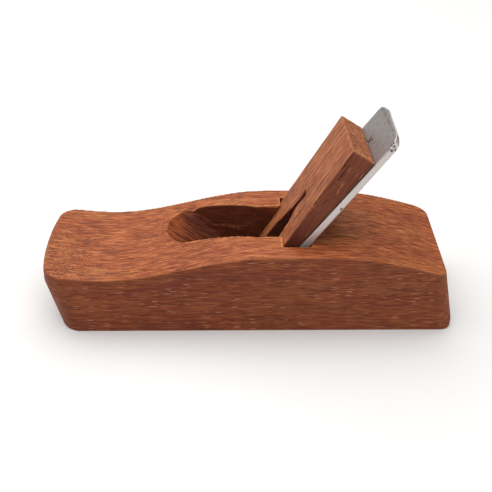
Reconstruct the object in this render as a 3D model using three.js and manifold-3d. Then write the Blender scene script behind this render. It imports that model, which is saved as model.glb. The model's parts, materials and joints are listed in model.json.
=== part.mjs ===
// A small wooden hand plane: a hardwood stock, a single cutting iron and the wedge that holds it.
// Millimetres. +X runs from toe to heel, +Y to the left of someone pushing it, +Z up.
// The origin is under the middle of the stock, on the sole.
import * as THREE from 'three';
import { mergeVertices } from 'three/addons/utils/BufferGeometryUtils.js';
import Module from 'manifold-3d';

const wasm = await Module();
wasm.setup();

// ---------- driving dimensions ----------

// Stock: outside.
const STOCK_LENGTH = 206;
const STOCK_WIDTH = 64;
const TOE_RAKE = 13.5;          // degrees: the lower part of the toe is undercut
const HEEL_RAKE = 11.5;         // degrees: the heel leans the same way, out at the foot
const TOE_BOW = 2.8;            // how far the middle of the toe stands proud of its sides
const TOE_CORNER = 8.5;         // size of the rounding in plan
const TOE_UPRIGHT = 8;          // above the undercut the toe stands nearly upright for this height
const TOE_FACETS = [[1, 0.05], [0.2, 0.6]];   // faces of the upright part: share of its height, and slope
const HEEL_CORNER = 6.5;        // radius in plan

// Stock: profile of the top, as heights above the sole and stations along it.
const TOE_HEIGHT = 34.8;
const DIP_HEIGHT = 31.2;
const CREST_HEIGHT = 44;
const HEEL_HEIGHT = 32.7;
const DIP_FROM_TOE = 32;        // lowest point of the hollow behind the toe
const CREST_FRONT = 8;          // where the rise from the hollow ends
const CREST_BACK = 41;          // where the fall to the heel begins
const TOE_SLOPE = 0.2;          // slope of the top at the very toe
const HEEL_SLOPE = 0.3;         // slope of the top at the heel

// Iron and how it is bedded.
const BED_ANGLE = 54.5;         // degrees above the sole
const IRON_LENGTH = 124.8;
const IRON_WIDTH = 41;
const IRON_THICKNESS = 4.4;     // at the bevel
const IRON_TOP_THICKNESS = 3.3; // old irons taper towards the top
const IRON_BEVEL = 27;          // degrees, ground on the back
const IRON_NEAR_CORNER = 7.5;   // radius of the top corner on the -Y side
const IRON_FAR_CORNER = 11.5;   // the other top corner is ground off over this width
const IRON_FAR_DROP = 6;        // and over this length
const IRON_TOP_ROUND = 4.5;     // hammer taps have rounded the back of the top end
const EDGE_X = -6.15;           // the cutting edge, from the middle of the stock
const EDGE_LIFT = 0.5;          // the edge is drawn back this far above the sole

// Wedge, measured along the iron from its cutting edge. It is as wide as the iron.
const WEDGE_TAPER = 5.65;       // degrees between its two faces
const WEDGE_TOE = 11;           // where its legs end
const WEDGE_TOE_THICKNESS = 2.95;
const WEDGE_HEAD = 107.6;       // where its sawn top end lies
const WEDGE_HEAD_SKEW = 2.9;    // degrees out of square across the width
const WEDGE_HEAD_TILT = 2.9;    // degrees out of square to the iron
const FORK_NEAR_LEG = -7.6;     // y of the near leg's inner face at its toe
const FORK_FAR_LEG = 8.6;       // and of the far leg's
// The fork was sawn and split out by hand. Its two sides going up, as [along, y]:
const FORK_NEAR_SIDE = [[45, -7.3], [53.3, -6.3], [57.8, -4.4], [59.6, -3], [64.3, -3.2], [70, -4.6]];
const FORK_FAR_SIDE = [[36, 7.9], [45.4, 6.1], [47.2, 4.8], [56.2, 2.2], [58.6, 0.8], [64.6, 0], [71, 0.7]];

// Openings in the stock.
const SLOT_NEAR_PLAY = 2;       // gap beside the iron and the wedge on the -Y side
const SLOT_FAR_PLAY = 4;        // and on the +Y side
const ABUTMENT_NEAR = 9.5;      // width of the shoulder that the wedge bears on
const ABUTMENT_FAR = 8.5;
const THROAT_STRAIGHT_X = 4.5;  // behind this the throat walls are straight
const THROAT_SIDES_X = -32;     // ahead of this the scooped ramp is all there is
const THROAT_NEAR_Y = -7.6;     // the hand-cut throat drifts to the +Y side on the way
const THROAT_FAR_Y = 24.6;
const RAMP_TIP_X = -42.3;       // where the scooped ramp breaks through the top
const RAMP_TIP_Y = 11.5;
const RAMP_SLOPE = 40;          // degrees below level
const RAMP_SKEW = 10;           // degrees, in plan, off the length of the stock
const RAMP_RADIUS = 20.5;       // the ramp is hollow, as a gouge leaves it
const MOUTH_GAP = 4.3;          // opening ahead of the cutting edge
const MOUTH_SIDE = 1;           // the mouth is this much wider than the iron at each side
const EYE_HEIGHT = 14;          // below this the shoulders are cut away, so chips can spread

// Clearances.
const FIT = 0.3;                // between faces that bear on each other
const CURVE_STEPS = 14;         // segments in each curved span

// ---------- derived places ----------

const rad = THREE.MathUtils.degToRad;
const toeLean = Math.tan(rad(TOE_RAKE));
const heelLean = Math.tan(rad(HEEL_RAKE));
const halfWidth = STOCK_WIDTH / 2;
const toeX = -STOCK_LENGTH / 2;                    // furthest point, at the top of the undercut
const heelX = STOCK_LENGTH / 2;                    // at the foot of the heel
const footX = toeX + toeLean * (TOE_HEIGHT - TOE_UPRIGHT);   // foot of the toe
const heelTopX = heelX - heelLean * HEEL_HEIGHT;
const slotNear = -IRON_WIDTH / 2 - SLOT_NEAR_PLAY;
const slotFar = IRON_WIDTH / 2 + SLOT_FAR_PLAY;
const bed = rad(BED_ANGLE);
const bevelRun = IRON_THICKNESS / Math.tan(rad(IRON_BEVEL));
const ironTaper = Math.atan((IRON_THICKNESS - IRON_TOP_THICKNESS) / (IRON_LENGTH - bevelRun));
const ironFace = bed - ironTaper;                  // the front face lies a little flatter
const wedgeFace = ironFace + rad(WEDGE_TAPER);
const taper = Math.tan(rad(WEDGE_TAPER));
const ABOVE = CREST_HEIGHT + 40;                   // safely above the stock
const BELOW = -10;                                 // safely below the sole

// A point given along the iron and out from its front face, as stock coordinates [x, z].
const onIron = (along, out) => [
  EDGE_X + along * Math.cos(ironFace) - out * Math.sin(ironFace),
  EDGE_LIFT + along * Math.sin(ironFace) + out * Math.cos(ironFace),
];

// Distance of the wedge's front face from the iron's front face.
const wedgeFront = (along) => FIT + WEDGE_TOE_THICKNESS + (along - WEDGE_TOE) * taper;

// x of a sloping line through a point, at a height.
const lineX = ([x, z], angle, height) => x + (height - z) / Math.tan(angle);

const bedPoint = onIron(bevelRun, -(IRON_THICKNESS + FIT));
const abutmentPoint = onIron(WEDGE_TOE, wedgeFront(WEDGE_TOE) + FIT);

// ---------- solids ----------

function toSolid(geometry) {
  geometry.deleteAttribute('normal');
  geometry.deleteAttribute('uv');
  const merged = mergeVertices(geometry, 1e-4);
  return new wasm.Manifold(new wasm.Mesh({
    numProp: 3,
    vertProperties: new Float32Array(merged.attributes.position.array),
    triVerts: new Uint32Array(merged.index.array),
  }));
}

function toMesh(name, solid, material) {
  const mesh = solid.getMesh();
  const geometry = new THREE.BufferGeometry();
  geometry.setAttribute('position', new THREE.BufferAttribute(new Float32Array(mesh.vertProperties), 3));
  geometry.setIndex(new THREE.BufferAttribute(new Uint32Array(mesh.triVerts), 1));
  geometry.computeVertexNormals();
  const result = new THREE.Mesh(geometry, material);
  result.name = name;
  return result;
}

// A side-view outline (x, z), run across the width from y0 to y1.
function across(shape, y0, y1) {
  const geometry = new THREE.ExtrudeGeometry(shape, {
    depth: y1 - y0, bevelEnabled: false, curveSegments: CURVE_STEPS,
  });
  geometry.rotateX(Math.PI / 2);
  geometry.translate(0, y1, 0);
  return toSolid(geometry);
}

// A plan outline (x, y), run upwards from z0 to z1, leaning to the toe by lean for each unit of
// height. The outline is true to size at z = 0.
function upwards(shape, z0, z1, lean = 0) {
  const geometry = new THREE.ExtrudeGeometry(shape, {
    depth: z1 - z0, bevelEnabled: false, curveSegments: CURVE_STEPS,
  });
  geometry.translate(0, 0, z0);
  geometry.applyMatrix4(new THREE.Matrix4().set(
    1, 0, -lean, 0,
    0, 1, 0, 0,
    0, 0, 1, 0,
    0, 0, 0, 1,
  ));
  return toSolid(geometry);
}

const polygon = (points) => new THREE.Shape(points.map(([x, y]) => new THREE.Vector2(x, y)));

// ---------- stock ----------

function stockProfile() {
  const shape = new THREE.Shape();
  const dipX = toeX + DIP_FROM_TOE;
  const toDip = DIP_FROM_TOE / 3;
  const toCrest = (CREST_FRONT - dipX) / 3;
  const toHeel = (heelTopX - CREST_BACK) / 3;
  const beyondToe = toeX - 1;                      // the ends are cut by the plan outline
  const beyondHeel = heelX + 1;
  shape.moveTo(beyondToe, 0);
  shape.lineTo(beyondHeel, 0);
  shape.lineTo(beyondHeel, HEEL_HEIGHT - (beyondHeel - heelTopX) * HEEL_SLOPE);
  shape.lineTo(heelTopX, HEEL_HEIGHT);
  shape.bezierCurveTo(
    heelTopX - toHeel, HEEL_HEIGHT + toHeel * HEEL_SLOPE,
    CREST_BACK + toHeel, CREST_HEIGHT,
    CREST_BACK, CREST_HEIGHT,
  );
  shape.lineTo(CREST_FRONT, CREST_HEIGHT);
  shape.bezierCurveTo(
    CREST_FRONT - toCrest, CREST_HEIGHT,
    dipX + toCrest, DIP_HEIGHT,
    dipX, DIP_HEIGHT,
  );
  shape.bezierCurveTo(
    dipX - toDip, DIP_HEIGHT,
    toeX + toDip, TOE_HEIGHT - toDip * TOE_SLOPE,
    toeX, TOE_HEIGHT,
  );
  shape.lineTo(beyondToe, TOE_HEIGHT + TOE_SLOPE);
  return shape;
}

// Plan of the toe end, left open towards the heel.
function toePlan() {
  const shape = new THREE.Shape();
  const cornerX = footX + TOE_BOW;
  const sideX = cornerX - TOE_BOW / 3;
  const bowX = (4 * footX - sideX) / 3;            // puts the middle of the curve on footX
  const beyond = STOCK_LENGTH;
  shape.moveTo(beyond, -halfWidth);
  shape.lineTo(beyond, halfWidth);
  shape.lineTo(cornerX + TOE_CORNER, halfWidth);
  shape.bezierCurveTo(
    cornerX + TOE_CORNER / 2, halfWidth,
    cornerX, halfWidth - TOE_CORNER / 2,
    sideX, halfWidth - TOE_CORNER,
  );
  shape.bezierCurveTo(
    bowX, halfWidth / 3,
    bowX, -halfWidth / 3,
    sideX, TOE_CORNER - halfWidth,
  );
  shape.bezierCurveTo(
    cornerX, TOE_CORNER / 2 - halfWidth,
    cornerX + TOE_CORNER / 2, -halfWidth,
    cornerX + TOE_CORNER, -halfWidth,
  );
  return shape;
}

// Plan of the heel end, left open towards the toe.
function heelPlan() {
  const shape = new THREE.Shape();
  const beyond = -STOCK_LENGTH;
  shape.moveTo(beyond, -halfWidth);
  shape.lineTo(heelX - HEEL_CORNER, -halfWidth);
  shape.absarc(heelX - HEEL_CORNER, HEEL_CORNER - halfWidth, HEEL_CORNER, -Math.PI / 2, 0);
  shape.lineTo(heelX, halfWidth - HEEL_CORNER);
  shape.absarc(heelX - HEEL_CORNER, halfWidth - HEEL_CORNER, HEEL_CORNER, 0, Math.PI / 2);
  shape.lineTo(beyond, halfWidth);
  return shape;
}

// The wedge and iron slot: from the shoulders that the wedge bears on, back to the bed.
function slotCut() {
  return across(polygon([
    [lineX(bedPoint, bed, BELOW), BELOW],
    [lineX(bedPoint, bed, ABOVE), ABOVE],
    [lineX(abutmentPoint, wedgeFace, ABOVE), ABOVE],
    [lineX(abutmentPoint, wedgeFace, BELOW), BELOW],
  ]), slotNear, slotFar);
}

// Side view from the front of the mouth back to the bed, up to a height.
function mouthSide(top) {
  const mouthX = EDGE_X - MOUTH_GAP;
  return polygon([
    [mouthX, BELOW],
    [lineX(bedPoint, bed, BELOW), BELOW],
    [lineX(bedPoint, bed, top), top],
    [mouthX, top],
  ]);
}

// Plan view of the throat's side walls at the top of the stock, open at the front.
function throatPlan() {
  const near = slotNear + ABUTMENT_NEAR;
  const far = slotFar - ABUTMENT_FAR;
  const back = lineX(bedPoint, bed, CREST_HEIGHT);
  const middle = (THROAT_SIDES_X + THROAT_STRAIGHT_X) / 2;
  const shape = new THREE.Shape();
  shape.moveTo(back, near);
  shape.lineTo(back, far);
  shape.lineTo(THROAT_STRAIGHT_X, far);
  shape.quadraticCurveTo(middle, THROAT_FAR_Y - 2, THROAT_SIDES_X, THROAT_FAR_Y);
  shape.lineTo(toeX, THROAT_FAR_Y);
  shape.lineTo(toeX, THROAT_NEAR_Y);
  shape.lineTo(THROAT_SIDES_X, THROAT_NEAR_Y);
  shape.quadraticCurveTo(middle, THROAT_NEAR_Y - 1, THROAT_STRAIGHT_X, near);
  return shape;
}

// All that lies over the scooped ramp: a hollow sloping channel and the space above it.
function overRamp() {
  const outline = new THREE.Shape();
  outline.moveTo(RAMP_RADIUS, 0);
  outline.lineTo(RAMP_RADIUS, STOCK_LENGTH);
  outline.lineTo(-RAMP_RADIUS, STOCK_LENGTH);
  outline.lineTo(-RAMP_RADIUS, 0);
  outline.absarc(0, 0, RAMP_RADIUS, Math.PI, 2 * Math.PI);
  const channel = new THREE.ExtrudeGeometry(outline, {
    depth: 2 * STOCK_LENGTH, bevelEnabled: false, curveSegments: 2 * CURVE_STEPS,
  });
  channel.translate(0, RAMP_RADIUS, -STOCK_LENGTH);
  channel.rotateX(Math.PI / 2);
  channel.rotateZ(Math.PI / 2);
  channel.rotateY(rad(RAMP_SLOPE));
  channel.rotateZ(-rad(RAMP_SKEW));
  channel.translate(RAMP_TIP_X, RAMP_TIP_Y, TOE_HEIGHT);
  return toSolid(channel);
}

// Side view of everything between the bed and the toe, over the front of the mouth.
function throatSide() {
  const bedTop = lineX(bedPoint, bed, ABOVE);
  return polygon([
    [toeX, BELOW],
    [lineX(bedPoint, bed, BELOW), BELOW],
    [bedTop, ABOVE],
    [toeX, ABOVE],
  ]);
}

// The same outline again, leaning the other way, takes off each facet above the undercut.
function toeFacet([share, slope]) {
  const level = TOE_HEIGHT - share * TOE_UPRIGHT;
  const plan = upwards(toePlan(), BELOW - level, ABOVE - level, -slope);
  const sunk = (1 - share) * TOE_UPRIGHT * TOE_FACETS[0][1];
  return plan.translate([sunk - toeLean * (TOE_HEIGHT - TOE_UPRIGHT), 0, level]);
}

function makeStock() {
  let block = across(stockProfile(), -halfWidth, halfWidth)
    .intersect(upwards(toePlan(), BELOW, ABOVE, toeLean))
    .intersect(upwards(heelPlan(), BELOW, ABOVE, heelLean));
  for (const facet of TOE_FACETS) {
    block = block.intersect(toeFacet(facet));
  }
  const throat = upwards(throatPlan(), BELOW, ABOVE)
    .intersect(across(throatSide(), -halfWidth, halfWidth))
    .intersect(overRamp());
  const mouthHalf = IRON_WIDTH / 2 + MOUTH_SIDE;
  const mouth = across(mouthSide(EYE_HEIGHT), -mouthHalf, mouthHalf);
  return block.subtract(throat).subtract(mouth).subtract(slotCut());
}

// ---------- iron ----------

// Built with its cutting edge at the origin, its length along +X and its front face at z = 0.
function makeIron() {
  const side = new THREE.Shape();
  side.moveTo(0, 0);
  side.lineTo(bevelRun, -IRON_THICKNESS);
  side.lineTo(IRON_LENGTH - IRON_TOP_ROUND, -IRON_TOP_THICKNESS);
  side.quadraticCurveTo(IRON_LENGTH - IRON_TOP_ROUND / 3, -IRON_TOP_THICKNESS, IRON_LENGTH, 0);
  const half = IRON_WIDTH / 2;
  const face = new THREE.Shape();
  face.moveTo(-1, -half);
  face.lineTo(IRON_LENGTH - IRON_NEAR_CORNER, -half);
  face.absarc(IRON_LENGTH - IRON_NEAR_CORNER, IRON_NEAR_CORNER - half, IRON_NEAR_CORNER, -Math.PI / 2, 0);
  face.lineTo(IRON_LENGTH, half - IRON_FAR_CORNER);
  face.bezierCurveTo(
    IRON_LENGTH - IRON_FAR_DROP * 0.35, half - IRON_FAR_CORNER * 0.3,
    IRON_LENGTH - IRON_FAR_DROP * 0.45, half,
    IRON_LENGTH - IRON_FAR_DROP, half,
  );
  face.lineTo(-1, half);
  return across(side, -half, half).intersect(upwards(face, -IRON_THICKNESS - 1, 1));
}

// ---------- wedge ----------

// Built in the iron's own frame: x along the iron from its edge, z out from its front face.
function makeWedge() {
  const half = IRON_WIDTH / 2;
  const beyond = WEDGE_HEAD + half;
  const side = polygon([
    [WEDGE_TOE, FIT],
    [beyond, FIT],
    [beyond, wedgeFront(beyond)],
    [WEDGE_TOE, wedgeFront(WEDGE_TOE)],
  ]);
  const body = across(side, -half, half);

  // The sawn head: a block past the end, turned for its tilt and skew.
  const saw = new THREE.BoxGeometry(STOCK_LENGTH, STOCK_LENGTH, STOCK_LENGTH);
  saw.translate(STOCK_LENGTH / 2, 0, 0);
  saw.rotateY(-rad(WEDGE_HEAD_TILT));
  saw.rotateZ(rad(WEDGE_HEAD_SKEW));
  saw.translate(WEDGE_HEAD, 0, FIT);

  const fork = polygon([
    [WEDGE_TOE - 1, FORK_NEAR_LEG],
    ...FORK_NEAR_SIDE,
    ...FORK_FAR_SIDE.toReversed(),
    [WEDGE_TOE - 1, FORK_FAR_LEG],
  ]);
  return body.subtract(toSolid(saw)).subtract(upwards(fork, -1, ABOVE));
}

// ---------- assembly ----------

const stockWood = new THREE.MeshStandardMaterial({ color: 0x9c5534, roughness: 0.62, metalness: 0 });
const wedgeWood = new THREE.MeshStandardMaterial({ color: 0xa8623f, roughness: 0.66, metalness: 0 });
const steel = new THREE.MeshStandardMaterial({ color: 0x9a9a9c, roughness: 0.42, metalness: 0.9 });

const group = new THREE.Group();
group.add(toMesh('stock', makeStock(), stockWood));

// The iron lies on the bed, and the wedge lies on the iron.
const bedded = new THREE.Group();
bedded.position.set(EDGE_X, 0, EDGE_LIFT);
bedded.rotation.y = -ironFace;
bedded.add(toMesh('iron', makeIron(), steel));
bedded.add(toMesh('wedge', makeWedge(), wedgeWood));
group.add(bedded);
group.updateMatrixWorld(true);

export default group;
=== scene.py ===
# A small wooden hand plane: a hardwood stock, a bare cutting iron and the forked wedge that holds it.
# Lengths in this file are in millimetres where a name or a comment says mm, and in metres elsewhere.
import json
import math

import bpy
import numpy as np
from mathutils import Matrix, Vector, noise


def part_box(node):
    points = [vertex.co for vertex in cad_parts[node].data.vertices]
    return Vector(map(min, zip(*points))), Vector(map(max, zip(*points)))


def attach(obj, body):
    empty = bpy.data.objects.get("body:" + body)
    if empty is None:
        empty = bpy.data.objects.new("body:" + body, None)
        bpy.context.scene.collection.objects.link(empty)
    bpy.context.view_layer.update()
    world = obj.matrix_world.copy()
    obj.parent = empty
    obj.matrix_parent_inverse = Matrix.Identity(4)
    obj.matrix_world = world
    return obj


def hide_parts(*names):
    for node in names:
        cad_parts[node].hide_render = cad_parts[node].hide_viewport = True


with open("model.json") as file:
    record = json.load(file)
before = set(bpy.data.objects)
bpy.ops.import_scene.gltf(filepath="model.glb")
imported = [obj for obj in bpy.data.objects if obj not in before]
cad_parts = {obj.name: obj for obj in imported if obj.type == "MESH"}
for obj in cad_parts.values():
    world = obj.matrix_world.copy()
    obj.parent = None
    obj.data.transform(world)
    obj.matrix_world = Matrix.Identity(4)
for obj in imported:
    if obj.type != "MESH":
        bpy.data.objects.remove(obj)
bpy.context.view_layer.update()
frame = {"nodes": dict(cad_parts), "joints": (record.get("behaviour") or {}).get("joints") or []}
bpy.ops.object.select_all(action="DESELECT")

# ---- Camera ----
# It looks down on the near side of the plane at 34 degrees, from a little under half a metre away.
MM = 0.001
AIM = Vector((-1.4, 0, 29.7)) * MM
CAMERA_DISTANCE = 441.5 * MM
CAMERA_TILT = math.radians(34)
CAMERA_TURN = math.radians(0.41)
CAMERA_LENS = 62.73

camera_data = bpy.data.cameras.new("camera")
camera_data.lens = CAMERA_LENS
camera_data.clip_start = 0.01
camera = bpy.data.objects.new("camera", camera_data)
bpy.context.scene.collection.objects.link(camera)
camera.rotation_euler = (math.pi / 2 - CAMERA_TILT, 0, -CAMERA_TURN)
camera.location = AIM + camera.rotation_euler.to_matrix() @ Vector((0, 0, CAMERA_DISTANCE))
bpy.context.scene.camera = camera

# ---- Table and light ----
# A white table top runs out of sight. A wide soft light hangs over the plane, a weaker one stands on
# the near side towards the heel, and the white room around it fills the shadows.
TABLE_SIZE = 8
TABLE_WHITE = "#cfcecd"
ROOM_WHITE = "#fbfaf8"
ROOM_STRENGTH = 0.42
LIGHTS = {                                 # where each one is, its size and its power in watts
    "overhead_light": (Vector((-0.24, 0.26, 1.1)), 1.9, 31),
    "heel_side_light": (Vector((0.4, -0.85, 0.6)), 1.0, 4.0),
}


def linear(hex_colour):
    """A #rrggbb colour as linear red, green, blue and alpha."""
    steps = [int(hex_colour[i:i + 2], 16) / 255 for i in (1, 3, 5)]
    return (*[s / 12.92 if s <= 0.04045 else ((s + 0.055) / 1.055) ** 2.4 for s in steps], 1)


def new_material(name):
    """An empty material: its tree, and its surface shader already joined to the output."""
    material = bpy.data.materials.new(name)
    material.use_nodes = True
    tree = material.node_tree
    return material, tree, tree.nodes["Principled BSDF"]


bpy.ops.mesh.primitive_plane_add(size=TABLE_SIZE, location=(0, 0, 0))
table_top = bpy.context.object
table_top.name = "table_top"
table_paint, _, shader = new_material("white_table_paint")
shader.inputs["Base Color"].default_value = linear(TABLE_WHITE)
shader.inputs["Roughness"].default_value = 0.85
shader.inputs["Specular IOR Level"].default_value = 0.2
table_top.data.materials.append(table_paint)

for name, (place, size, power) in LIGHTS.items():
    light_data = bpy.data.lights.new(name, "AREA")
    light_data.size = size
    light_data.energy = power
    light = bpy.data.objects.new(name, light_data)
    bpy.context.scene.collection.objects.link(light)
    light.location = place
    light.rotation_euler = (-place).to_track_quat("-Z", "Y").to_euler()

room = bpy.data.worlds.new("white_room")
bpy.context.scene.world = room
room.use_nodes = True
room.node_tree.nodes["Background"].inputs["Color"].default_value = linear(ROOM_WHITE)
room.node_tree.nodes["Background"].inputs["Strength"].default_value = ROOM_STRENGTH
bpy.context.scene.view_settings.view_transform = "Standard"

# ---- Stock ----
# The body is one block of reddish tropical hardwood, planed by hand, with its throat, mouth and bed
# cut into it by chisel and gouge. Handling has rounded its arrises, most of all at the two ends.
STOCK_GRID = 0.55 * MM      # spacing of the worked-up surface
STOCK_FACES = 185000                                 # triangles that the finished block may have
HEEL_WEAR = 3.6                                      # mm: radius worn on the heel's lower edge
HEEL_LEAN = 1.2                                      # mm: how far in the heel's lean puts its middle
RAMP_TURN = math.radians(10)                         # the throat's ramp drifts to +Y towards the toe
FLUTE_WIDTH = 1.5                                    # mm between the marks of the gouge
FLUTE_DEPTH = 0.16
FLUTE_WANDER = 0.12
PLANED_WAVE = 0.12                                   # mm: how far the planed faces are from flat
CHISELLED_WAVE = 0.3                                 # and the chiselled walls of the throat
HOLE_REACH = 27                                      # mm to each side of the middle, clear of the throat
STOCK_HALF = 103                                     # mm: half the length of the block
STATION = 1.5                                        # mm between the places where its top is measured
LEDGE_ALONG = (-31, -24, -19, -5, 0)                 # mm: the ledge's course on the throat's far wall,
LEDGE_HEIGHT = (36.5, 32.5, 28.8, 29.4, 31)          # its height at each place, and how far it stands out
LEDGE_STEP = 0.5
SCOOP_ALONG, SCOOP_ACROSS, SCOOP_REACH, SCOOP_DEPTH = -29.5, 25, 2.4, 2.2


def worked_copy(node, name):
    """A copy of a frame node, as one closed skin, ready to be worked on."""
    piece = bpy.data.objects.new(name, frame["nodes"][node].data.copy())
    bpy.context.scene.collection.objects.link(piece)
    piece.data.materials.clear()
    for attribute in ("custom_normal", "sharp_face", "sharp_edge"):
        if attribute in piece.data.attributes:
            piece.data.attributes.remove(piece.data.attributes[attribute])
    bpy.ops.object.select_all(action="DESELECT")
    bpy.context.view_layer.objects.active = piece
    piece.select_set(True)
    bpy.ops.object.mode_set(mode="EDIT")
    bpy.ops.mesh.select_all(action="SELECT")
    bpy.ops.mesh.remove_doubles(threshold=1e-6)
    bpy.ops.mesh.dissolve_limited(angle_limit=math.radians(0.05))
    bpy.ops.object.mode_set(mode="OBJECT")
    return piece


def work(piece, kind, **settings):
    """Puts one modifier on the piece and applies it."""
    bpy.context.view_layer.objects.active = piece
    modifier = piece.modifiers.new(kind.lower(), kind)
    for key, value in settings.items():
        setattr(modifier, key, value)
    bpy.ops.object.modifier_apply(modifier=modifier.name)


def points_of(piece):
    """The piece's points in mm, and their outward normals."""
    count = len(piece.data.vertices)
    points = np.empty(count * 3)
    piece.data.vertices.foreach_get("co", points)
    normals = np.empty(count * 3)
    piece.data.vertex_normals.foreach_get("vector", normals)
    return points.reshape(-1, 3) / MM, normals.reshape(-1, 3)


def put_points(piece, points):
    """Moves the piece's points to these places, given in mm."""
    piece.data.vertices.foreach_set("co", (points * MM).ravel())
    piece.data.update()


def drift(points, periods, seed):
    """A smooth random value from about -1 to 1 at each point. Periods are in mm, along X, Y and Z."""
    scaled = points / np.array(periods) + seed
    return np.array([noise.noise(Vector(p)) for p in scaled])


def fade(value, start, end):
    """0 before start, 1 after end, and smooth between them."""
    share = np.clip((value - start) / (end - start), 0, 1)
    return share * share * (3 - 2 * share)


def give(piece, name, values):
    """Stores one number for each point, for the piece's material to read."""
    attribute = piece.data.attributes.new(name, "FLOAT", "POINT")
    attribute.data.foreach_set("value", values.astype(np.float32))


def arris_of(piece):
    """How sharply the skin turns outwards at each point: 0 on a flat, towards 1 on an arris."""
    points, normals = points_of(piece)
    edges = np.empty(len(piece.data.edges) * 2, int)
    piece.data.edges.foreach_get("vertices", edges)
    a, b = edges.reshape(-1, 2).T
    bend = ((normals[b] - normals[a]) * (points[b] - points[a])).sum(1)
    bend /= np.maximum(((points[b] - points[a]) ** 2).sum(1), 1e-9)
    total = np.bincount(a, bend, len(points)) + np.bincount(b, bend, len(points))
    count = np.bincount(a, minlength=len(points)) + np.bincount(b, minlength=len(points))
    turn = total / np.maximum(count, 1)
    for _ in range(2):
        shared = np.bincount(a, turn[b], len(points)) + np.bincount(b, turn[a], len(points))
        turn = (turn + shared / np.maximum(count, 1)) / 2
    return fade(turn, 0.12, 0.6)


stock = worked_copy("stock", "plane_stock")
work(stock, "REMESH", mode="VOXEL", voxel_size=STOCK_GRID, adaptivity=0)
work(stock, "SMOOTH", factor=0.5, iterations=2)

points, normals = points_of(stock)
x, y, z = points.T
# The lower edge of the heel has worn round from being set down on it.
past = x - (x.max() - HEEL_LEAN - HEEL_WEAR)
low = HEEL_WEAR - z
reach = np.hypot(past, low)
corner = (past > 0) & (low > 0) & (reach > HEEL_WEAR)
points[corner, 0] -= (past * (1 - HEEL_WEAR / reach))[corner]
points[corner, 2] += (low * (1 - HEEL_WEAR / reach))[corner]
put_points(stock, points)

points, normals = points_of(stock)
x, y, z = points.T
# How far each point lies below the top of the block at its own place along the block.
rim = np.abs(y) > HOLE_REACH
stations = np.arange(-STOCK_HALF, STOCK_HALF + 1, STATION)
tops = [z[rim & (np.abs(x - station) < STATION)].max(initial=0) for station in stations]
below_top = np.interp(x, stations, tops) - z
# Where each kind of work shows: 1 there, 0 elsewhere. The limits on x, y, z and below_top are in mm.
on_top = fade(normals[:, 2], 0.6, 0.8) * fade(-below_top, -1.2, -0.6)
outside = np.maximum(fade(np.abs(y), 31, 31.8), on_top)
inside = fade(below_top, 0.3, 1.4)
on_ramp = inside * fade(normals[:, 0], 0.25, 0.45) * fade(normals[:, 2], 0.2, 0.45) * fade(-x, 8, 12)
in_throat = inside * (1 - on_ramp) * fade(x, -40, -34) * fade(-x, -14, -8) * fade(z, 2, 6)
in_throat *= fade(HOLE_REACH + 1 - np.abs(y), 0, 1)
# The gouge left flutes down the ramp, which lie side by side across it.
across = y * math.cos(RAMP_TURN) + x * math.sin(RAMP_TURN)
flutes = np.abs(np.sin(math.pi * (across / FLUTE_WIDTH + 0.4 * drift(points, (14, 3, 14), 3))))
flutes = (flutes - 0.6) * (0.7 + drift(points, (9, 3, 9), 21))
# A ledge left by the chisel on the far wall, where the throat was taken down in two stages.
ledge = np.interp(x, LEDGE_ALONG, LEDGE_HEIGHT) + 0.5 * drift(points, (4, 30, 30), 17)
far_wall = in_throat * fade(-normals[:, 1], 0.5, 0.8) * fade(y, 10, 14)
step = LEDGE_STEP * fade(ledge - z, -0.3, 0.3) * fade(-x, -2, 8)
pared = CHISELLED_WAVE * drift(points, (7, 7, 4), 7) * in_throat
planed = PLANED_WAVE * drift(points, (34, 12, 12), 11) * outside * fade(z, 1, 4)
gouged = on_ramp * (FLUTE_DEPTH * flutes + FLUTE_WANDER * drift(points, (3, 1.5, 3), 31))
moved = gouged + pared + planed + far_wall * step
# Short grain comes to the surface at both ends, and in the dip of the toe nearest the hand.
toe_corner = fade(-x, 50, 96) * fade(-y, -26, 16) * fade(normals[:, 2], 0.4, 0.8)
give(stock, "short_grain", np.maximum(fade(np.abs(normals[:, 0]), 0.35, 0.9), 0.75 * toe_corner))
on_side = fade(np.abs(normals[:, 1]), 0.4, 0.9)
give(stock, "side", on_side)
give(stock, "face", 1 - on_side)
in_hole = fade(x, -42, -25) * fade(-x, -46, -10) * fade(HOLE_REACH + 2 - np.abs(y), 0, 1)
# Painted shade: the throat is darkened the further it lies below the top, and most on its far wall.
painted_shade = np.maximum(0.2 * inside + 0.8 * fade(below_top, 0.5, 7), 1.25 * far_wall)
give(stock, "painted_shade", painted_shade * in_hole)
give(stock, "ramp", on_ramp)
ledge_line = far_wall * fade(0.8 - np.abs(ledge - z), 0, 0.5)
ledge_line *= fade(drift(points, (1.6, 9, 2), 71), 0, 0.3)
give(stock, "pale", 0.5 * ledge_line)
points = points + normals * moved[:, None]
# The far corner of the ramp has a scoop where the gouge came out.
scoop = np.exp(-((x - SCOOP_ALONG) ** 2 + (y - SCOOP_ACROSS) ** 2) / SCOOP_REACH ** 2)
scoop *= fade(-below_top, -5, -1)
points[:, 2] -= SCOOP_DEPTH * scoop
put_points(stock, points)
# Arrises are painted lighter: a little all round for wear, and much more round the throat, where it is a
# painted highlight.
give(stock, "arris", arris_of(stock) * (0.25 + 0.75 * in_hole))

triangles = 2 * len(stock.data.polygons)
if triangles > STOCK_FACES:
    work(stock, "DECIMATE", ratio=STOCK_FACES / triangles)
stock.data.shade_smooth()


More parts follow.
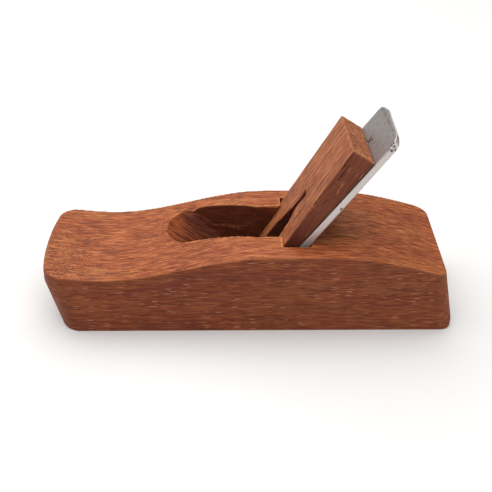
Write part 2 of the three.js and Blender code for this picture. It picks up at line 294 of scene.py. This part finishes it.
def add_node(tree, kind, settings=(), inputs=(), links=(), stops=()):
    """Adds a node, sets it, fills its inputs and joins each (its input, other node, its output). Stops
    are a colour ramp's: each is a place from 0 to 1 with a grey or a #rrggbb colour."""
    node = tree.nodes.new(kind)
    for key, value in dict(settings).items():
        setattr(node, key, value)
    for key, value in dict(inputs).items():
        node.inputs[key].default_value = value
    for socket, source, output in links:
        tree.links.new(source.outputs[output], node.inputs[socket])
    if stops:
        elements = node.color_ramp.elements
        while len(elements) < len(stops):
            elements.new(1)
        for element, (place, value) in zip(elements, stops):
            element.position = place
            element.color = linear(value) if isinstance(value, str) else (value, value, value, 1)
    return node


# Each pattern of the grain: mm along the grain, across it and into the face, then its detail and
# roughness. Real vessel lines are a quarter of a millimetre wide. They are drawn coarser, at 0.62 mm,
# because finer ones wouldn't show.
WOOD_FIGURE = {
    "board": (60, 14, 14, 2, 0.5),
    "broad": (30, 2.0, 3.0, 3, 0.6),
    "face_lines": (9, 0.62, 2.6, 2, 0.6),
    "side_lines": (9, 2.6, 0.62, 2, 0.6),
    "short": (1.4, 0.75, 0.75, 2, 0.6),
    "crowd": (22, 9, 9, 2, 0.5),
    "rub_and_highlight": (9, 2.2, 2.2, 2, 0.5),
    "gouged": (14, 0.7, 14, 2, 0.6),
}
# Small marks: the same three lengths for each cell, then the share of cells with a mark and the
# mark's reach in its cell. Real pores and flecks are 0.1 to 0.2 mm wide. They are drawn coarser, at
# 0.3 to 0.4 mm, so that they show.
WOOD_MARKS = {
    "pores": (5, 0.6, 0.6, 0.7, 0.32),
    "flecks": (8, 0.55, 0.55, 0.36, 0.27),
}


def planed_hardwood(name, grain_slope, tones, dark, side_shade, pore, fleck, seed):
    """Reddish tropical hardwood, straight in the grain, hand planed and never varnished. It is nearly
    matt, with short fine streaks along the grain and open pores that read as dark dashes, or as dots
    where the grain ends. On the sides, short pale flecks show where the pores have filled with dust."""
    material, tree, shader = new_material(name)
    place = add_node(tree, "ShaderNodeTexCoord")
    turned = add_node(tree, "ShaderNodeMapping", inputs={"Rotation": (0, grain_slope, 0)},
                      links=[("Vector", place, "Object")])
    patterns = {}
    for step, (layer, (along, across, deep, *_)) in enumerate((WOOD_FIGURE | WOOD_MARKS).items()):
        fitted = add_node(tree, "ShaderNodeMapping",
                          inputs={"Scale": (1 / (along * MM), 1 / (across * MM), 1 / (deep * MM)),
                                  "Location": (seed + step, seed - step, 7.3 * step)},
                          links=[("Vector", turned, "Vector")])
        if layer in WOOD_FIGURE:
            detail, roughness = WOOD_FIGURE[layer][3:]
            patterns[layer] = add_node(tree, "ShaderNodeTexNoise",
                                       inputs={"Scale": 1, "Detail": detail, "Roughness": roughness},
                                       links=[("Vector", fitted, "Vector")])
        else:
            drawn_share, reach = WOOD_MARKS[layer][3:]
            cells = add_node(tree, "ShaderNodeTexVoronoi", inputs={"Scale": 1, "Randomness": 1},
                             links=[("Vector", fitted, "Vector")])
            mark = add_node(tree, "ShaderNodeValToRGB", links=[(0, cells, "Distance")],
                            stops=[(reach * 0.6, 1), (reach, 0)])
            lot = add_node(tree, "ShaderNodeSeparateColor", links=[(0, cells, "Color")])
            drawn = add_node(tree, "ShaderNodeMath", {"operation": "LESS_THAN"}, {1: drawn_share},
                             [(0, lot, 0)])
            shown = add_node(tree, "ShaderNodeMath", {"operation": "MULTIPLY"},
                             links=[(0, mark, 0), (1, drawn, 0)])
            crowded = add_node(tree, "ShaderNodeValToRGB", links=[(0, patterns["crowd"], 0)],
                               stops=[(0.38, 0.2), (0.62, 1)])
            patterns[layer] = add_node(tree, "ShaderNodeMath", {"operation": "MULTIPLY"},
                                       links=[(0, shown, 0), (1, crowded, 0)])

    # What is laid over the wood's own colour, in order, painted shade and a painted highlight among it:
    # the pattern it follows and how strongly, where on the piece it shows (everywhere, where nothing is
    # named) and its colour.
    coats = [
        ("broad", [(0.44, 0), (0.74, 0.24)], None, dark),
        ("face_lines", [(0.46, 0), (0.66, 0.8)], "face", dark),
        ("face_lines", [(0.33, 0.6), (0.46, 0)], "face", fleck),
        ("side_lines", [(0.46, 0), (0.66, 0.85)], "side", dark),
        ("side_lines", [(0.33, 0.4), (0.46, 0)], "side", fleck),
        ("short", [(0.47, 0), (0.62, 0.75)], "short_grain", dark),
        ("short", [(0.34, 0.45), (0.45, 0)], "short_grain", fleck),
        (None, [(0.6, 0), (1, 0.14)], "short_grain", dark),
        ("pores", [(0, 0), (1, 0.85)], None, pore),
        # Painted shade: the sides are made darker than the top.
        (None, [(0, 0), (1, side_shade)], "side", "#5a261b"),
        ("flecks", [(0, 0), (1, 0.25)], None, fleck),
        ("flecks", [(0, 0), (1, 0.85)], "side", "#c98c70"),
        # Lighter arrises: wear, and round the stock's throat a painted highlight.
        ("rub_and_highlight", [(0.3, 0.25), (0.6, 0.95)], "arris", fleck),
        ("rub_and_highlight", [(0.3, 0.5), (0.6, 1)], "pale", fleck),
        (None, [(0, 0), (1, 0.4)], "ramp", "#8a3a10"),
        ("gouged", [(0.47, 0), (0.57, 0.8)], "ramp", "#35120a"),
        # Painted shade in the wedge's cracks.
        (None, [(0, 0), (1, 0.85)], "crack_shade", pore),
        # Painted shade in the throat and on the wedge's sides.
        (None, [(0, 0), (1, 0.62)], "painted_shade", "#3e1206"),
    ]
    wood = add_node(tree, "ShaderNodeValToRGB", links=[(0, patterns["board"], "Fac")],
                    stops=[(0.32, tones[0]), (0.52, tones[1]), (0.7, tones[2])])
    # A ramp's colour is output 0, a mix's is output 2, and a mix's two colours are its inputs 6 and 7.
    output = 0
    for layer, stops, where, tint in coats:
        spot = add_node(tree, "ShaderNodeAttribute", {"attribute_name": where}) if where else None
        share = add_node(tree, "ShaderNodeValToRGB", stops=stops,
                         links=[(0, patterns[layer], 0) if layer else (0, spot, "Fac")])
        if layer and where:
            share = add_node(tree, "ShaderNodeMath", {"operation": "MULTIPLY"},
                             links=[(0, share, 0), (1, spot, "Fac")])
        wood = add_node(tree, "ShaderNodeMix", {"data_type": "RGBA"}, {7: linear(tint)},
                        [(0, share, 0), (6, wood, output)])
        output = 2
    tree.links.new(wood.outputs[2], shader.inputs["Base Color"])

    sheen = add_node(tree, "ShaderNodeValToRGB", links=[(0, patterns["face_lines"], "Fac")],
                     stops=[(0.3, 0.55), (0.75, 0.7)])
    tree.links.new(sheen.outputs[0], shader.inputs["Roughness"])
    shader.inputs["IOR"].default_value = 1.5
    shader.inputs["Specular IOR Level"].default_value = 0.22

    lines = add_node(tree, "ShaderNodeBump", inputs={"Strength": 0.6, "Distance": 0.15 * MM},
                     links=[("Height", patterns["face_lines"], "Fac")])
    filled = add_node(tree, "ShaderNodeMath", {"operation": "SUBTRACT"}, {0: 1.0},
                      [(1, patterns["pores"], 0)])
    pits = add_node(tree, "ShaderNodeBump", inputs={"Strength": 0.8, "Distance": 0.2 * MM},
                    links=[("Height", filled, "Value"), ("Normal", lines, "Normal")])
    tree.links.new(pits.outputs["Normal"], shader.inputs["Normal"])
    return material


stock.data.materials.append(planed_hardwood(
    "reddish_hardwood_stock", grain_slope=0, tones=("#813b1b", "#944b23", "#915226"), dark="#4f1f0e",
    side_shade=0.46, pore="#2c1007", fleck="#bc7643", seed=0.0))
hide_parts("stock")
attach(stock, "stock")

# ---- Cutting iron ----
# A bar of forged tool steel, a little thinner at the top, ground to one bevel at its foot. Its top
# corners are ground off, hammer taps have rounded its top end, and its skin has dulled and pitted.
IRON_GRID = 0.45 * MM
SKIN_WAVE = 0.05                                     # mm: how far its faces are from flat,
HAMMER_DENT = 0.16                                   # how deep the taps on its top end go,
RIM_GROOVE = 0.12                                    # the line inside the rim that they raised,
PIT_DEPTH = 0.12                                     # and the rust pits
IRON_SET_BACK = 0.04                                 # mm that the whole skin is drawn in
RUST_PITS = [               # mm up the iron, across it and out from its face, and how far each reaches
    (108.8, 3.1, 0, 1.7), (110.4, 1.7, 0, 1.1), (107.4, 4.9, 0, 1.0), (110.2, 4.9, 0, 0.9),
    (119.7, -19.0, 0, 0.9), (118.0, -20.5, -1.4, 0.8), (119.6, -20.5, -2.7, 0.8),
    (121.2, -19.4, 0, 0.7), (120.4, -20.5, -1.0, 0.9), (122.6, -20.2, -1.5, 0.7),
    (117.2, -19.9, 0, 0.5), (80.7, -20.5, -2.6, 0.6),
]
edge = np.array(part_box("iron")[0]) / MM
slide = np.array(frame["joints"][1]["axis"])
outward = np.array((-slide[2], 0, slide[0]))


def along_and_out(points):
    """Places in mm up the iron from its cutting edge, and out from its front face."""
    return (points - edge) @ slide, (points - edge) @ outward


iron = worked_copy("iron", "cutting_iron")
work(iron, "REMESH", mode="VOXEL", voxel_size=IRON_GRID, adaptivity=0)
work(iron, "SMOOTH", factor=0.5, iterations=2)
points, normals = points_of(iron)
along, out = along_and_out(points)
rust = np.zeros(len(points))
for pit_along, pit_across, pit_out, pit_reach in RUST_PITS:
    ragged = pit_reach * (1 + 0.9 * drift(points, (0.8, 0.8, 0.8), 5))
    away = np.sqrt((along - pit_along) ** 2 + (points[:, 1] - pit_across) ** 2 + (out - pit_out) ** 2)
    rust = np.maximum(rust, fade(ragged - away, -0.25, 0.35))
# The rim that hammer taps have raised just inside the top end.
tip = along.max()
struck = fade(along, tip - 9, tip - 3)
rim_line = np.exp(-((tip - along - 2.2 - 0.05 * points[:, 1] - drift(points, (4, 4, 4), 9)) / 0.5) ** 2)
rim_line *= fade(normals @ outward, 0.5, 0.9) * fade(drift(points, (2.5, 2.5, 2.5), 19), -0.2, 0.3)
# A brown stain where the iron comes out of the body.
stained = fade(62 - along, 0, 8) * fade(along, 36, 50)
give(iron, "rust", np.maximum(rust, 0.5 * stained))
speckled = 0.35 * struck * fade(drift(points, (1.2, 1.2, 1.2), 29), 0, 0.4)
give(iron, "struck", np.maximum(0.9 * rim_line, speckled))
give(iron, "ground_edge", fade(np.abs(normals[:, 1]), 0.5, 0.9))
moved = HAMMER_DENT * struck * drift(points, (2.4, 2.4, 2.4), 37)
moved = moved + SKIN_WAVE * drift(points, (9, 9, 9), 43)
moved = moved - PIT_DEPTH * rust - RIM_GROOVE * rim_line - IRON_SET_BACK
put_points(iron, points + normals * moved[:, None])
iron.data.shade_smooth()


def dulled_steel(name):
    """Old tool steel, forged, then ground and left to dull: a soft grey sheen that is mottled rather
    than brushed, brighter along its ground edges, with brown rust sitting in small pits."""
    material, tree, shader = new_material(name)
    coats = [                   # where on the iron each coat shows, how strongly and its colour
        ("ground_edge", 0.9, "#cfc7c4"),
        ("struck", 0.75, "#5c5552"),
        ("rust", 0.95, "#2b1a12"),
    ]
    place = add_node(tree, "ShaderNodeTexCoord")
    # The scale left by the forge is under half a millimetre across. It is drawn coarser, at 2.2 mm.
    cloudy = add_node(tree, "ShaderNodeTexNoise",
                      inputs={"Scale": 1 / (2.2 * MM), "Detail": 4.0, "Roughness": 0.75},
                      links=[("Vector", place, "Object")])
    skin = add_node(tree, "ShaderNodeValToRGB", links=[(0, cloudy, "Fac")],
                    stops=[(0.34, "#9a9391"), (0.66, "#b1aaa7")])
    output = 0
    for where, strength, tint in coats:
        spot = add_node(tree, "ShaderNodeAttribute", {"attribute_name": where})
        share = add_node(tree, "ShaderNodeValToRGB", links=[(0, spot, "Fac")],
                         stops=[(0, 0), (1, strength)])
        skin = add_node(tree, "ShaderNodeMix", {"data_type": "RGBA"}, {7: linear(tint)},
                        [(0, share, 0), (6, skin, output)])
        output = 2
    tree.links.new(skin.outputs[2], shader.inputs["Base Color"])
    rusty = add_node(tree, "ShaderNodeAttribute", {"attribute_name": "rust"})
    metal = add_node(tree, "ShaderNodeValToRGB", links=[(0, rusty, "Fac")], stops=[(0, 1), (0.8, 0)])
    tree.links.new(metal.outputs[0], shader.inputs["Metallic"])
    dull = add_node(tree, "ShaderNodeValToRGB", links=[(0, cloudy, "Fac")],
                    stops=[(0.3, 0.5), (0.7, 0.44)])
    coarse = add_node(tree, "ShaderNodeMath", {"operation": "MAXIMUM"},
                      links=[(0, dull, 0), (1, rusty, "Fac")])
    tree.links.new(coarse.outputs[0], shader.inputs["Roughness"])
    bump = add_node(tree, "ShaderNodeBump", inputs={"Strength": 0.2, "Distance": 0.1 * MM},
                    links=[("Height", cloudy, "Fac")])
    tree.links.new(bump.outputs["Normal"], shader.inputs["Normal"])
    return material


iron.data.materials.append(dulled_steel("dulled_tool_steel"))
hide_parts("iron")
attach(iron, "iron")

# ---- Wedge ----
# A tapered strip of the same hardwood, sawn off at its head and forked at its foot so that shavings
# pass between its legs. The fork was sawn and split by hand, and driving it has cracked its side.
WEDGE_GRID = 0.42 * MM
WEDGE_FACES = 150000
WEDGE_SET_BACK = 0.03                                 # mm that the whole skin is drawn in
WEDGE_WAVE = 0.05                                    # mm: how far its planed faces are from flat,
SAWN_WAVE = 0.16                                     # the sawn head
SPLIT_WAVE = 0.14                                    # and the split walls of the fork
CRACK_DEPTH = 0.6
TEAR_DEPTH = 0.15
NEAR_SIDE = -20.5                                    # mm: where its near side lies
CHIPS_ALONG = (71.2, 71.7, 73.6, 74.0, 76.6, 77.4)   # mm up the iron, and what is lost there
CHIPS_DEEP = (0.2, 1.5, 1.1, 1.9, 1.6, 0.2)
SIDE_CRACKS = [             # near side: mm up the iron and out from its face at each end, half width
    (101.4, 9.3, 91.2, 8.5, 0.2),
    (107.2, 11.8, 96.4, 10.8, 0.22),
    (84.4, 10.1, 72.6, 9.1, 0.22),
]
SIDE_TEARS = [(92.8, 6.2, 89.4, 5.3, 0.12), (88.7, 5.4, 85.7, 4.1, 0.12)]


def near_line(along, out, ends):
    """1 on a crack or tear in the wedge's near side, 0 away from it. It is slimmer at its two ends."""
    along_a, out_a, along_b, out_b, half_width = ends
    run = np.array((along_b - along_a, out_b - out_a))
    share = np.clip(((along - along_a) * run[0] + (out - out_a) * run[1]) / (run @ run), 0, 1)
    away = np.hypot(along - along_a - share * run[0], out - out_a - share * run[1])
    slim = half_width * (0.35 + 2.6 * share * (1 - share))
    return fade(slim - away, -0.25, 0.2)


wedge = worked_copy("wedge", "forked_wedge")
work(wedge, "REMESH", mode="VOXEL", voxel_size=WEDGE_GRID, adaptivity=0)
work(wedge, "SMOOTH", factor=0.5, iterations=2)
points, normals = points_of(wedge)
along, out = along_and_out(points)
ragged_out = out + 0.25 * drift(points, (4, 4, 4), 13)
near_side = fade(-normals[:, 1], 0.6, 0.9)
cracked = np.zeros(len(points))
for ends in SIDE_CRACKS:
    cracked = np.maximum(cracked, near_side * near_line(along, ragged_out, ends))
torn = np.zeros(len(points))
for ends in SIDE_TEARS:
    torn = np.maximum(torn, near_side * near_line(along, ragged_out, ends))
on_front = normals @ outward > 0.97
taper, foot = np.polyfit(along[on_front], out[on_front], 1)
front = taper * along + foot
# Painted shade: the cracks are darkened with the pore colour.
give(wedge, "crack_shade", cracked)
on_side = fade(np.abs(normals[:, 1]), 0.4, 0.9)
give(wedge, "side", on_side)
give(wedge, "face", 1 - on_side)
# Painted shade: the sides are darkened towards the body and towards the iron, where shade falls.
low_down = 0.9 * fade(76 - along, 0, 22)
by_iron = 0.7 * fade(2.6 - out, 0, 2)
give(wedge, "painted_shade", on_side * np.maximum(low_down, by_iron))
sawn = fade(normals @ slide, 0.5, 0.9)
give(wedge, "short_grain", sawn)
fringe = sawn * fade(-points[:, 1], 13, 20) * fade(drift(points, (0.9, 0.7, 0.9), 51), -0.1, 0.3)
give(wedge, "pale", np.maximum(0.8 * torn, 0.6 * fringe))
# Flat planed faces, a sawn head, and a fork left rough where it was split.
split = fade(78 - along, 0, 8) * fade(14 - np.abs(points[:, 1]), 0, 4)
moved = WEDGE_WAVE * drift(points, (6, 6, 6), 23) + SPLIT_WAVE * split * drift(points, (2.5, 1.2, 2.5), 27)
moved += (sawn * SAWN_WAVE * drift(points, (1.6, 0.8, 1.6), 33) - CRACK_DEPTH * cracked
          - TEAR_DEPTH * torn - WEDGE_SET_BACK)
points = points + normals * moved[:, None]
# Splinters are gone from the near front arris, just above the body.
chip = np.interp(along, CHIPS_ALONG, CHIPS_DEEP)
chip += 0.35 * drift(points, (1.5, 8, 1.5), 47)
lost = np.maximum(chip - (points[:, 1] - NEAR_SIDE) - (front - out), 0) / 2
points[:, 1] += lost
points -= outward * lost[:, None]
put_points(wedge, points)
give(wedge, "arris", 0.2 * arris_of(wedge))
triangles = 2 * len(wedge.data.polygons)
if triangles > WEDGE_FACES:
    work(wedge, "DECIMATE", ratio=WEDGE_FACES / triangles)
wedge.data.shade_smooth()
wedge_slope = math.atan2(slide[2], slide[0]) + math.atan(taper)
wedge.data.materials.append(planed_hardwood(
    "reddish_hardwood_wedge", grain_slope=wedge_slope, tones=("#8b492a", "#9c5934", "#995e35"),
    dark="#50200f", side_shade=0.74, pore="#2c1007", fleck="#c38454", seed=4.0))
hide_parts("wedge")
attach(wedge, "wedge")
